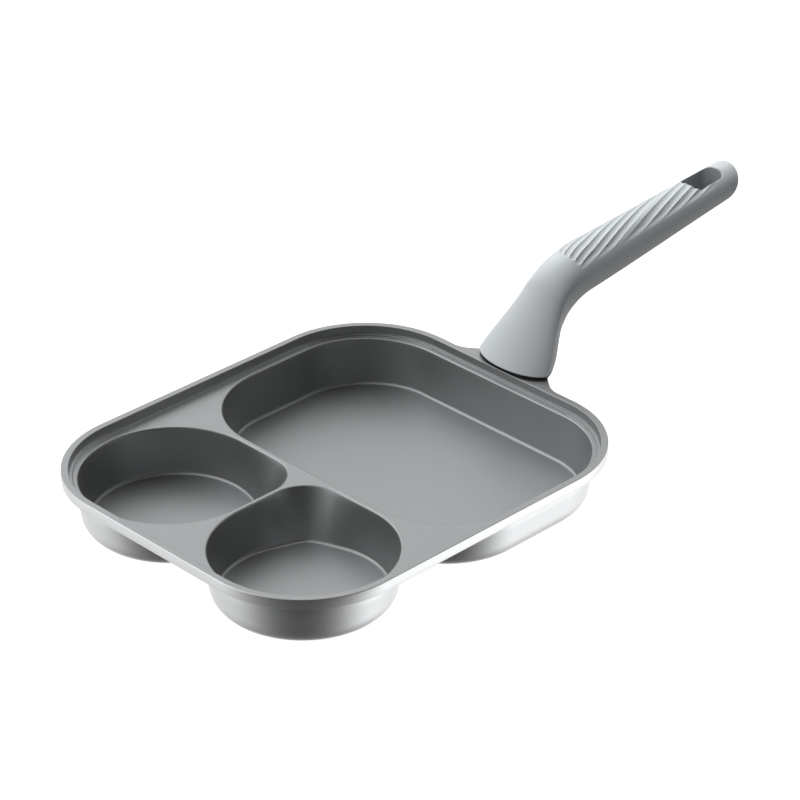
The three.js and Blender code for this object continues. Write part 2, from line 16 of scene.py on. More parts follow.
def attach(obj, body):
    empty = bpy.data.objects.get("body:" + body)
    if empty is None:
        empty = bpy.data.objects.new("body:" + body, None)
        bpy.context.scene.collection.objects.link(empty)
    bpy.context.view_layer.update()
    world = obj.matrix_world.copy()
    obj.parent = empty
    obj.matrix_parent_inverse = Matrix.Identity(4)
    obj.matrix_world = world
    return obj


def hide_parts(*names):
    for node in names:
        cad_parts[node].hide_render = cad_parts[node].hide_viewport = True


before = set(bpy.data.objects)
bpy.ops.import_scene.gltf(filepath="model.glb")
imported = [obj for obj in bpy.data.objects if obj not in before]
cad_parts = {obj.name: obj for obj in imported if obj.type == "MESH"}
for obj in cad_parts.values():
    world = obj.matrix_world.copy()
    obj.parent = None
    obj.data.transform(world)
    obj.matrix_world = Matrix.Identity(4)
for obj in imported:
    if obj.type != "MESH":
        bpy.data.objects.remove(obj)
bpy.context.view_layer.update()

LOG = logging.getLogger("breakfast_pan")
MM = 0.001  # meshes are modelled in millimetres
BODY = "root"
SMOOTH_ANGLE = math.radians(40)  # a sharper turn is shaded as an edge
MERGE = 1e-3  # points nearer than this become one
UNDIVIDED = 1e3  # longer than any edge

Colour = tuple[float, float, float, float]
Ring = list[BMEdge]
Place = Callable[[BMVert], Vector]


class Coat(IntEnum):
    """Material slots of the casting."""

    NON_STICK = 0
    SILVER = 1


def smoothstep(value: float, low: float, high: float) -> float:
    """Eases from 0 at low to 1 at high."""
    share = min(max((value - low) / (high - low), 0.0), 1.0)
    return share * share * (3 - 2 * share)


def lerp(start: float, end: float, share: float) -> float:
    """Value between start and end."""
    return start + (end - start) * share


def quarter_turn(steps: int) -> list[float]:
    """Angles from 0 to a quarter turn."""
    return [math.radians(90 * step / steps) for step in range(steps + 1)]


def rounded_ring(
    bm: BMesh, corners: list[tuple[float, float, float]], z: float, segments: int, straight: float = UNDIVIDED
) -> Ring:
    """Starts a level ring of edges from a few corners and rounds them.

    Args:
        bm: Mesh to add to.
        corners: X, Y and the length that rounding takes off each side, anticlockwise.
        z: Height of the ring.
        segments: Edges in each rounded corner.
        straight: Longest edge that isn't divided.

    Returns:
        The edges of the ring.
    """
    before = set(bm.edges)
    verts = [bm.verts.new((x, y, z)) for x, y, _ in corners]
    bm.faces.new(verts)
    for vert, (_, _, cut) in zip(verts, corners):
        if cut:
            bmesh.ops.bevel(
                bm, geom=[vert], offset=cut, offset_type="OFFSET", segments=segments,
                profile=0.5, affect="VERTICES", clamp_overlap=False, material=-1,
            )
    fresh = [edge for edge in bm.edges if edge not in before]
    faces = dict.fromkeys(face for edge in fresh for face in edge.link_faces)
    bmesh.ops.delete(bm, geom=list(faces), context="FACES_ONLY")
    bmesh.ops.remove_doubles(bm, verts=points_of(fresh), dist=MERGE)
    fresh = [edge for edge in bm.edges if edge not in before]
    for edge in fresh:
        if edge.calc_length() > straight:
            bmesh.ops.subdivide_edges(bm, edges=[edge], cuts=int(edge.calc_length() / straight))
    return [edge for edge in bm.edges if edge not in before]


def grow(bm: BMesh, ring: Ring, place: Place, coat: int = 0) -> Ring:
    """Extrudes a ring of edges.

    Args:
        bm: Mesh that holds the ring.
        ring: Edges to extrude.
        place: Gives each new vertex its place.
        coat: Material slot of the new faces.

    Returns:
        The edges at the far side of the new faces.
    """
    made = bmesh.ops.extrude_edge_only(bm, edges=ring)["geom"]
    verts = {item for item in made if isinstance(item, BMVert)}
    for vert in verts:
        vert.co = place(vert)
    for item in made:
        if isinstance(item, BMFace):
            item.material_index = coat
    return [item for item in made if isinstance(item, BMEdge) and verts.issuperset(item.verts)]


def points_of(ring: Ring) -> list[BMVert]:
    """Vertices of a ring, each once and in a fixed order."""
    return list(dict.fromkeys(vert for edge in ring for vert in edge.verts))


def cap(bm: BMesh, ring: Ring, coat: int = 0) -> BMFace:
    """Closes a ring with one face."""
    return bmesh.ops.edgeloop_fill(bm, edges=ring, mat_nr=coat)["faces"][0]


def fill(bm: BMesh, rings: list[Ring], coat: int) -> None:
    """Fills the level field between an outer ring and the rings inside it.

    Args:
        bm: Mesh that holds the rings.
        rings: Outer ring and inner rings, at one height.
        coat: Material slot of the field.
    """
    edges = [edge for ring in rings for edge in ring]
    made = bmesh.ops.triangle_fill(bm, use_beauty=True, use_dissolve=False, edges=edges, normal=(0, 0, 1))
    for item in made["geom"]:
        if isinstance(item, BMFace):
            item.material_index = coat


def soften(bm: BMesh, edges: Ring, radius: float, segments: int = 4) -> None:
    """Rounds edges with a bevel."""
    bmesh.ops.bevel(
        bm, geom=edges, offset=radius, offset_type="OFFSET", segments=segments,
        profile=0.5, affect="EDGES", clamp_overlap=False, material=-1,
    )


def crease_by_angle(bm: BMesh) -> None:
    """Shades every face smooth, with sharp edges where the surface turns sharply."""
    for face in bm.faces:
        face.smooth = True
    for edge in bm.edges:
        edge.smooth = edge.calc_face_angle(0.0) < SMOOTH_ANGLE


def to_object(bm: BMesh, name: str) -> bpy.types.Object:
    """Scales a finished mesh to metres and links it as an object.

    Args:
        bm: Mesh in millimetres, which is freed.
        name: Name of the object.

    Returns:
        The new object, at the origin.
    """
    bmesh.ops.recalc_face_normals(bm, faces=bm.faces)
    crease_by_angle(bm)
    bmesh.ops.scale(bm, vec=(MM, MM, MM), verts=bm.verts)
    mesh = bpy.data.meshes.new(name)
    bm.to_mesh(mesh)
    bm.free()
    made = bpy.data.objects.new(name, mesh)
    bpy.context.scene.collection.objects.link(made)
    return made


def carve(target: bpy.types.Object, cutters: list[bpy.types.Object]) -> None:
    """Cuts objects out of another one and removes them.

    Args:
        target: Object whose mesh is cut.
        cutters: Closed objects to take away.
    """
    for cutter in cutters:
        cut = target.modifiers.new(cutter.name, "BOOLEAN")
        cut.operation = "DIFFERENCE"
        cut.solver = "EXACT"
        cut.object = cutter
    graph = bpy.context.evaluated_depsgraph_get()
    mesh = bpy.data.meshes.new_from_object(target.evaluated_get(graph))
    target.modifiers.clear()
    whole, target.data = target.data, mesh
    mesh.name = target.name
    bpy.data.meshes.remove(whole)
    for cutter in cutters:
        bpy.data.objects.remove(cutter)
    bm = bmesh.new()
    bm.from_mesh(mesh)
    crease_by_angle(bm)
    bm.to_mesh(mesh)
    bm.free()


def finish_piece(made: bpy.types.Object, node: str, finishes: list[bpy.types.Material]) -> None:
    """Dresses a new piece and lets it stand for its CAD node.

    Args:
        made: The piece.
        node: CAD node that it replaces.
        finishes: Materials, in the order of the mesh's material slots.
    """
    for material in finishes:
        made.data.materials.append(material)
    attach(made, BODY)
    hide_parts(node)


class NodeMaker:
    """Adds nodes to one node tree."""

    def __init__(self, tree: bpy.types.NodeTree) -> None:
        """Keeps the tree."""
        self.tree = tree

    def set(self, node: bpy.types.Node, inputs: dict[str | int, object]) -> None:
        """Sets inputs of a node, or links them to output sockets."""
        for key, value in inputs.items():
            if isinstance(value, bpy.types.NodeSocket):
                self.tree.links.new(value, node.inputs[key])
            else:
                node.inputs[key].default_value = value

    def add(self, kind: str, inputs: dict[str | int, object], **settings: object) -> bpy.types.NodeOutputs:
        """Adds a shader node.

        Args:
            kind: Type of node, without its prefix.
            inputs: A value or an output socket for each input, by name or number.
            settings: Attributes of the node.

        Returns:
            The outputs of the node.
        """
        node = self.tree.nodes.new("ShaderNode" + kind)
        for name, value in settings.items():
            setattr(node, name, value)
        self.set(node, inputs)
        return node.outputs


class SurfaceGrain:
    """Shader node group: fine grain and broad mottling of a surface."""

    NAME = "Surface grain"
    INPUTS = {
        "Vector": "Vector", "Fine scale": "Float", "Broad scale": "Float",
        "Dark": "Color", "Light": "Color", "Smooth": "Float", "Rough": "Float",
    }
    OUTPUTS = {"Colour": "Color", "Roughness": "Float", "Height": "Float"}
    FINE_DETAIL, BROAD_DETAIL = 3.0, 4.0
    FINE_SHARE, BROAD_SHARE = 0.45, 0.55

    @classmethod
    def group(cls) -> bpy.types.NodeTree:
        """Builds the group once.

        Returns:
            The node tree, with Colour, Roughness and Height outputs.
        """
        found = bpy.data.node_groups.get(cls.NAME)
        if found:
            return found
        tree = bpy.data.node_groups.new(cls.NAME, "ShaderNodeTree")
        for side, sockets in (("INPUT", cls.INPUTS), ("OUTPUT", cls.OUTPUTS)):
            for label, kind in sockets.items():
                tree.interface.new_socket(label, in_out=side, socket_type="NodeSocket" + kind)
        make = NodeMaker(tree)
        given = tree.nodes.new("NodeGroupInput").outputs
        where = given["Vector"]
        fine, broad = (
            make.add("TexNoise", {"Vector": where, "Scale": given[scale], "Detail": detail})["Fac"]
            for scale, detail in (("Fine scale", cls.FINE_DETAIL), ("Broad scale", cls.BROAD_DETAIL))
        )
        part = make.add("Math", {0: broad, 1: cls.BROAD_SHARE}, operation="MULTIPLY")["Value"]
        mixed = make.add("Math", {0: fine, 1: cls.FINE_SHARE, 2: part}, operation="MULTIPLY_ADD")["Value"]
        colour = make.add("Mix", {}, data_type="RGBA")
        make.set(colour["Result"].node, {"Factor": mixed, "A": given["Dark"], "B": given["Light"]})
        rough = make.add("MapRange", {"Value": mixed, "To Min": given["Smooth"], "To Max": given["Rough"]})
        leave = tree.nodes.new("NodeGroupOutput")
        make.set(leave, {"Colour": colour["Result"], "Roughness": rough["Result"], "Height": fine})
        return tree


@dataclass(frozen=True)
class Finish:
    """A procedural finish with fine grain and broad mottling."""

    name: str
    dark: Colour
    light: Colour
    smooth: float
    rough: float
    metallic: float = 0.0
    coat: float = 0.0
    coat_roughness: float = 0.1
    specular: float = 0.5
    fine: float = 900.0
    broad: float = 14.0
    relief: float = 2e-5

    def material(self) -> bpy.types.Material:
        """Builds the material.

        Returns:
            A material that reads Object coordinates.
        """
        made = bpy.data.materials.new(self.name)
        made.use_nodes = True
        make = NodeMaker(made.node_tree)
        grain = make.add("Group", {}, node_tree=SurfaceGrain.group())
        make.set(grain["Height"].node, {
            "Vector": make.add("TexCoord", {})["Object"], "Fine scale": self.fine, "Broad scale": self.broad,
            "Dark": self.dark, "Light": self.light, "Smooth": self.smooth, "Rough": self.rough,
        })
        bump = make.add("Bump", {"Height": grain["Height"], "Distance": self.relief})
        make.set(made.node_tree.nodes["Principled BSDF"], {
            "Base Color": grain["Colour"], "Roughness": grain["Roughness"], "Normal": bump["Normal"],
            "Metallic": self.metallic, "Specular IOR Level": self.specular,
            "Coat Weight": self.coat, "Coat Roughness": self.coat_roughness,
        })
        return made


NON_STICK = Finish(
    "satin_non_stick", (0.276, 0.283, 0.289, 1), (0.358, 0.365, 0.370, 1), 0.36, 0.46,
    metallic=0.95, fine=1400.0, broad=9.0, relief=1.2e-5,
)
SILVER_COAT = Finish(
    "pearl_silver", (0.74, 0.75, 0.76, 1), (0.84, 0.85, 0.86, 1), 0.16, 0.26,
    metallic=0.9, coat=0.5, coat_roughness=0.08, fine=2200.0, broad=7.0, relief=4e-6,
)
GREY_MOULDING = Finish(
    "satin_grey_moulding", (0.163, 0.174, 0.180, 1), (0.197, 0.210, 0.217, 1), 0.36, 0.46,
    fine=1700.0, broad=16.0, relief=1e-5,
)
# Near black: partly the gasket's own rubber, and partly painted shade for the dark gap between the handle's
# foot and the lug.
BLACK_RUBBER_AND_GAP_SHADE = Finish(
    "black_rubber", (0.006, 0.006, 0.007, 1), (0.014, 0.014, 0.015, 1), 0.6, 0.8,
    specular=0.15, fine=1500.0, broad=40.0, relief=2e-5,
)
ZINC_STEEL = Finish(
    "zinc_steel", (0.5, 0.51, 0.53, 1), (0.66, 0.67, 0.69, 1), 0.24, 0.4,
    metallic=1.0, fine=3000.0, broad=120.0, relief=4e-6,
)
PALE_FLOOR = Finish(
    "pale_floor", (0.11, 0.11, 0.11, 1), (0.13, 0.13, 0.13, 1), 0.7, 0.8,
    fine=60.0, broad=3.0, relief=0.0,
)


@dataclass(frozen=True)
class RoundedBox:
    """Outline in plan of a box with rounded corners, in millimetres.

    The radii belong to the corners +X +Y, -X +Y, -X -Y and +X -Y.
    """

    low: tuple[float, float]
    high: tuple[float, float]
    radii: tuple[float, float, float, float]

    def at(self, point: Vector, offset: float, z: float) -> Vector:
        """Moves a point of the outline, or of an offset of it.

        Args:
            point: Any point on the outline or on an offset of it.
            offset: Distance out of the outline.
            z: Height to give the point.

        Returns:
            The place at that offset, square to the outline.
        """
        right = point.x > (self.low[0] + self.high[0]) / 2
        back = point.y > (self.low[1] + self.high[1]) / 2
        radius = self.radii[(0 if back else 3) if right else (1 if back else 2)]
        core = Vector((
            min(point.x, self.high[0] - radius) if right else max(point.x, self.low[0] + radius),
            min(point.y, self.high[1] - radius) if back else max(point.y, self.low[1] + radius),
        ))
        moved = core + (point.xy - core).normalized() * (radius + offset)
        return Vector((moved.x, moved.y, z))

    def ring(self, bm: BMesh, offset: float, z: float, segments: int, straight: float = UNDIVIDED) -> Ring:
        """Starts a ring of edges on an offset of the outline.

        Args:
            bm: Mesh to add to.
            offset: Distance out of the outline.
            z: Height of the ring.
            segments: Edges in each corner.
            straight: Longest edge that isn't divided.

        Returns:
            The edges of the ring.
        """
        (x0, y0), (x1, y1) = self.low, self.high
        corners = [(x, y, cut) for (x, y), cut in zip(((x1, y1), (x0, y1), (x0, y0), (x1, y0)), self.radii)]
        ring = rounded_ring(bm, corners, z, segments, straight)
        for vert in points_of(ring):
            vert.co = self.at(vert.co, offset, z)
        return ring


@dataclass(frozen=True)
class Well:
    """One well of the casting. An egg well's floor has a blunt corner, in the direction of nose."""

    box: RoundedBox
    inset: float
    nose: float | None = None
    nose_reach: float = 4.8
    nose_round: float = 0.08

    def crease(self, point: Vector, offset: float) -> Vector:
        """Place of the wall's lower end under a point of the rim.

        Args:
            point: Point on the rim.
            offset: Distance out of the floor's outline.

        Returns:
            The place in plan, with no height.
        """
        if self.nose is None:
            return self.box.at(point, offset - self.inset, 0)
        centre = (Vector(self.box.low) + Vector(self.box.high)) / 2
        arm = point.xy - centre
        radius = (self.box.high[0] - self.box.low[0]) / 2 - self.inset + offset
        turn = math.remainder(math.atan2(arm.y, arm.x) - self.nose, math.tau)
        spread = math.acos(radius / (radius + self.nose_reach))
        rounded = math.hypot(turn, self.nose_round)
        if rounded < spread:
            radius /= math.cos(spread - rounded)
        return (centre + arm.normalized() * radius).to_3d()


@dataclass
class Casting:
    """The cast tray with its lip, lug and wells, coated inside and outside."""

    half_length: float = 130.0
    half_width: float = 110.5
    corner: float = 59.4
    height: float = 35.5
    skirt: float = 6.0
    undercut: float = 2.5
    deck_drop: float = 5.9
    deck: float = 2.6
    lip_width: float = 4.0
    lip_depth: float = 4.7
    lip_round: float = 0.45
    ledge_width: float = 1.7
    draft: float = 0.25
    edge_round: float = 0.3
    rim_round: float = 0.8
    rim_segments: int = 5
    flat: float = 0.25
    corner_segments: int = 32
    well_depth: float = 27.0
    floor: float = 2.6
    wall: float = 2.2
    wall_thinned: float = 0.9
    floor_inset: float = 4.0
    floor_fillet: float = 2.0
    under_fillet: float = 11.0
    room_start: float = 3.0
    shell_start: float = 6.0
    well_segments: int = 48
    well_straight: float = 3.0
    wall_steps: int = 6
    fillet_steps: int = 8
    egg_radius: float = 49.8
    egg_corner: float = 22.0
    egg_centre: tuple[float, float] = (-71.8, 51.1)
    large_ends: tuple[float, float] = (-18.8, 121.6)
    large_half_width: float = 101.4
    large_corner: float = 50.3
    lug_flare: tuple[float, float] = (137.0, 25.7)
    lug_root: float = 35.0
    lug_back: tuple[float, float] = (153.0, 10.0)
    lug_cuts: tuple[float, float, float] = (4.0, 4.0, 4.5)
    stub_half: tuple[float, float] = (5.4, 13.0)
    stub_corner: float = 2.5
    stub_round: float = 0.8
    stub_segments: int = 6
    stub_x: float = 136.4
    stub_height: float = 21.0
    stub_taper: float = 1.2
    stub_lean: float = 0.7604

    @cached_property
    def tray(self) -> RoundedBox:
        """Outline of the rim without its lug."""
        x, y = self.half_length, self.half_width
        return RoundedBox((-x, -y), (x, y), (self.corner,) * 4)

    @cached_property
    def wells(self) -> list[Well]:
        """The large well and the two egg wells."""
        x0, x1 = self.large_ends
        y, radius = self.large_half_width, self.egg_radius
        found = [Well(RoundedBox((x0, -y), (x1, y), (self.large_corner,) * 4), self.floor_inset)]
        for side in (1, -1):
            x, y = self.egg_centre[0], side * self.egg_centre[1]
            radii = [radius] * 4
            radii[3 if side > 0 else 0] = self.egg_corner
            box = RoundedBox((x - radius, y - radius), (x + radius, y + radius), tuple(radii))
            found.append(Well(box, self.floor_inset, -side * math.pi / 4))
        return found

    @property
    def deck_z(self) -> float:
        """Height of the deck."""
        return self.height - self.deck_drop

    def build(self) -> bpy.types.Object:
        """Models and dresses the casting.

        Returns:
            The piece that stands for the CAD casting.
        """
        bm = bmesh.new()
        self._rim_place = bm.verts.layers.float_vector.new("rim")
        self._crease_place = bm.verts.layers.float_vector.new("crease")
        top, under = self._outer_edge(bm)
        lip, deck = self._basin(bm)
        skirt, plate = self._underside(bm)
        fill(bm, [top, lip, self._stub(bm)], Coat.NON_STICK)
        fill(bm, [deck, *(self._room(bm, well) for well in self.wells)], Coat.NON_STICK)
        fill(bm, [under, skirt], Coat.SILVER)
        fill(bm, [plate, *(self._shell(bm, well) for well in self.wells)], Coat.SILVER)
        made = to_object(bm, "pan_casting")
        finish_piece(made, "pan_body", [NON_STICK.material(), SILVER_COAT.material()])
        return made

    def _outer_edge(self, bm: BMesh) -> tuple[Ring, Ring]:
        """Makes the outside of the rim and its lug.

        Args:
            bm: Mesh of the casting.

        Returns:
            The inner rings of its top and of its underside.
        """
        x, y, cut = self.half_length, self.half_width, self.corner
        points = (self.lug_back, self.lug_flare, (x, self.lug_root))
        side = [(*point, lug_cut) for point, lug_cut in zip(points, self.lug_cuts)]
        mirrored = [(a, -b, c) for a, b, c in reversed(side)]
        corners = [(x, y, cut), (-x, y, cut), (-x, -y, cut), (x, -y, cut), *mirrored, *side]
        upper = rounded_ring(bm, corners, self.height, self.corner_segments)
        down = Vector((0, 0, -self.skirt))
        lower = grow(bm, upper, lambda vert: vert.co + down, Coat.SILVER)
        faces = [cap(bm, upper, Coat.NON_STICK), cap(bm, lower, Coat.SILVER)]
        walls = [face for edge in upper for face in edge.link_faces if face not in faces]
        for face in faces:
            bmesh.ops.inset_region(
                bm, faces=[face], thickness=self.lip_round + self.flat, use_even_offset=True
            )
        around = dict.fromkeys(edge for face in walls for edge in face.edges)
        level = [edge for edge in around if edge.verts[0].co.z == edge.verts[1].co.z]
        soften(bm, level, self.lip_round)
        rings = [list(face.edges) for face in faces]
        bmesh.ops.delete(bm, geom=faces, context="FACES_ONLY")
        return rings[0], rings[1]

    def _stepped(self, bm: BMesh, steps: list[tuple[float, float]], coat: Coat) -> tuple[Ring, Ring]:
        """Makes a stepped band round the tray, rounded at each step.

        Args:
            bm: Mesh of the casting.
            steps: Distance in from the edge and down from the lip's top. The first and last are level strips.
            coat: Coat of the band.

        Returns:
            The first and the last ring.
        """
        (first_in, first_down), *others = steps
        first = ring = self.tray.ring(bm, -first_in, self.height - first_down, self.corner_segments)
        turned = []
        for inwards, down in others:
            turned.append(ring)
            ring = grow(bm, ring, lambda vert: self.tray.at(vert.co, -inwards, self.height - down), coat)
        soften(bm, [edge for step in turned[1:] for edge in step], self.edge_round)
        return first, ring

    def _basin(self, bm: BMesh) -> tuple[Ring, Ring]:
        """Makes the lip's inside and the ledge below it."""
        foot = self.lip_width + self.draft
        ledge = foot + self.ledge_width
        strip = self.edge_round + self.flat
        return self._stepped(bm, [
            (self.lip_width - strip, 0), (self.lip_width, 0), (foot, self.lip_depth), (ledge, self.lip_depth),
            (ledge + self.draft, self.deck_drop), (ledge + self.draft + strip, self.deck_drop),
        ], Coat.NON_STICK)

    def _underside(self, bm: BMesh) -> tuple[Ring, Ring]:
        """Makes the underside from the skirt's flat to the plate round the wells."""
        inner = self.lip_width + self.ledge_width + 2 * self.draft
        strip = self.edge_round + self.flat
        drop = self.deck_drop + self.deck
        return self._stepped(bm, [
            (self.undercut - strip, self.skirt), (self.undercut, self.skirt),
            (inner, drop), (inner + strip, drop),
        ], Coat.SILVER)

    def stub_prism(self, bm: BMesh, gap: float, closed: bool) -> tuple[Ring, Ring]:
        """Makes the stub, or a socket round it.

        Args:
            bm: Mesh to add to.
            gap: Distance out of the stub.
            closed: Whether the root is closed as the end is.

        Returns:
            The rings at the root and at the end.
        """
        (dx, dy), x = self.stub_half, self.stub_x
        box = RoundedBox((x - dx, -dy), (x + dx, dy), (self.stub_corner,) * 4)
        up = self.stub_height + gap
        lean = Vector((up * self.stub_lean, 0, 0))
        root = box.ring(bm, gap, self.height, self.stub_segments)
        if closed:
            cap(bm, root)
        end = grow(bm, root, lambda vert: box.at(vert.co, gap - self.stub_taper, self.height + up) + lean)
        cap(bm, end)
        return root, end

    def _stub(self, bm: BMesh) -> Ring:
        """Makes the stub on the lug that carries the handle.

        Args:
            bm: Mesh of the casting.

        Returns:
            The ring round the stub's root.
        """
        root, end = self.stub_prism(bm, 0.0, closed=False)
        soften(bm, end, self.stub_round)
        return root

    def _wall(self, inset: float, depth: float, fillet: float, start: float) -> list[tuple[float, float]]:
        """Section of a well's wall.

        Args:
            inset: Draft of the wall over its depth.
            depth: Height from the deck to the floor.
            fillet: Radius from wall to floor.
            start: Height where the section begins.

        Returns:
            Pairs of distance inwards and height over the floor, ending a little inside the fillet.
        """
        lean = math.atan2(inset, depth)
        run = fillet / math.tan((math.pi / 2 + lean) / 2)
        curve = []
        for step in range(self.fillet_steps + 1):
            turn = lean + (math.pi / 2 - lean) * step / self.fillet_steps
            curve.append((inset + run - fillet * math.cos(turn), fillet * (1 - math.sin(turn))))
        heights = [lerp(start, curve[0][1], step / self.wall_steps) for step in range(self.wall_steps)]
        straight = [((depth - height) * inset / depth, height) for height in heights]
        return [*straight, *curve, (inset + run + fillet / 4, 0.0)]

    def _path(self, vert: BMVert) -> Vector:
        """The way in plan from a vertex's rim point to its crease point."""
        return vert[self._crease_place] - vert[self._rim_place]

    def _sides(
        self, bm: BMesh, ring: Ring, size: tuple[float, float, float], bottom: float, coat: Coat
    ) -> Ring:
        """Grows a well's wall and fillet, each vertex by its own draft.

        Args:
            bm: Mesh of the casting.
            ring: Marked ring at the top.
            size: Depth of the wall, radius of the fillet, and height where the section begins.
            bottom: Height of the floor.
            coat: Coat of the wall.

        Returns:
            The ring on the floor.
        """
        for step in range(len(self._wall(1.0, *size))):
            def place(vert: BMVert) -> Vector:
                """Place of a vertex at this step."""
                path = self._path(vert)
                inwards, up = self._wall(path.length, *size)[step]
                return vert[self._rim_place] + path.normalized() * inwards + Vector((0, 0, bottom + up))

            ring = grow(bm, ring, place, coat)
        return ring

    def _mark(self, ring: Ring, well: Well, offset: float, crease: float) -> None:
        """Keeps each vertex's rim point and crease point, which extruded vertices take over."""
        for vert in points_of(ring):
            vert[self._crease_place] = well.crease(vert.co, crease)
            vert[self._rim_place] = well.box.at(vert.co, offset, 0)

    def _room(self, bm: BMesh, well: Well) -> Ring:
        """Makes the inside of a well.

        Args:
            bm: Mesh of the casting.
            well: The well.

        Returns:
            The ring in the deck round its rounded rim.
        """
        strip = self.rim_round + self.flat
        first = well.box.ring(bm, strip, self.deck_z, self.well_segments, self.well_straight)
        rim = grow(bm, first, lambda vert: well.box.at(vert.co, 0, self.deck_z), Coat.NON_STICK)
        self._mark(rim, well, 0, 0)
        size = (self.well_depth, self.floor_fillet, self.well_depth - self.room_start)
        cap(bm, self._sides(bm, rim, size, self.floor, Coat.NON_STICK), Coat.NON_STICK)
        soften(bm, rim, self.rim_round, self.rim_segments)
        return first

    def _shell(self, bm: BMesh, well: Well) -> Ring:
        """Makes the outside of a well, thinner at its root so that the wells keep apart.

        Args:
            bm: Mesh of the casting.
            well: The well.

        Returns:
            The ring in the plate's underside.
        """
        inset = self.floor_inset * (self.well_depth + self.floor) / self.well_depth
        root = self.deck_z - self.deck
        first = well.box.ring(bm, 0, root, self.well_segments, self.well_straight)
        self._mark(first, well, self.wall, self.wall - inset + self.floor_inset)
        for vert in points_of(first):
            path = self._path(vert)
            inwards = path * (1 - root / self.deck_z) + path.normalized() * self.wall_thinned
            vert.co = vert[self._rim_place] + inwards + Vector((0, 0, root))
        size = (self.deck_z, self.under_fillet, root - self.shell_start)
        cap(bm, self._sides(bm, first, size, 0, Coat.SILVER), Coat.SILVER)
        return first


@dataclass(frozen=True)
class Rail:
    """Edge of the handle in the XZ plane: straight neck, tangent bend, straight grip.

    Stations 0, 1, 2 and 3 are the foot, the bend's two ends and the tip.
    """

    foot: Vector
    angle: float
    radius: float
    grip: Vector
    tip: Vector

    @cached_property
    def _turns(self) -> tuple[Vector, Vector, float, float]:
        """Start and centre of the bend, its turn and the neck's angle."""
        angle = math.radians(self.angle)
        rise = Vector((math.cos(angle), math.sin(angle)))
        run = (self.tip - self.grip).normalized()
        turn = angle - math.atan2(run.y, run.x)
        gap = self.grip - self.foot
        along = (gap.x * run.y - gap.y * run.x) / (rise.x * run.y - rise.y * run.x)
        start = self.foot + rise * (along - self.radius * math.tan(turn / 2))
        return start, start + Vector((rise.y, -rise.x)) * self.radius, turn, angle

    def _bend(self, share: float) -> Vector:
        """Point on the bend."""
        _, centre, turn, angle = self._turns
        at = angle + math.pi / 2 - turn * share
        return centre + Vector((math.cos(at), math.sin(at))) * self.radius

    @cached_property
    def lengths(self) -> tuple[float, float, float]:
        """Lengths of neck, bend and grip."""
        start, _, turn, _ = self._turns
        return (start - self.foot).length, self.radius * turn, (self.tip - self._bend(1)).length

    def at(self, station: float) -> Vector:
        """Point at a station."""
        if station <= 1:
            return self.foot.lerp(self._turns[0], station)
        if station <= 2:
            return self._bend(station - 1)
        return self._bend(1).lerp(self.tip, station - 2)

    def along(self, station: float) -> float:
        """Distance along the edge at a station."""
        span = min(int(station), 2)
        return sum(self.lengths[:span]) + (station - span) * self.lengths[span]


def eased(station: float, values: tuple[float, float, float, float]) -> float:
    """Value at a station, on a smooth curve through the values at stations 0 to 3."""
    span = min(int(station), 2)
    share = station - span
    a, b, c, d = (values[min(max(span + k, 0), 3)] for k in (-1, 0, 1, 2))
    start, end = (c - a) / 2, (d - b) / 2
    cubic, square = 2 * b - 2 * c + start + end, 3 * c - 3 * b - 2 * start - end
    return (cubic * share + square) * share**2 + start * share + b


def arch(across: float, fullness: float) -> float:
    """Height of an oval arc over its chord, 1 in the middle and 0 at its ends."""
    end = math.sqrt(1 - fullness**2)
    return (math.sqrt(1 - (fullness * across) ** 2) - end) / (1 - end)


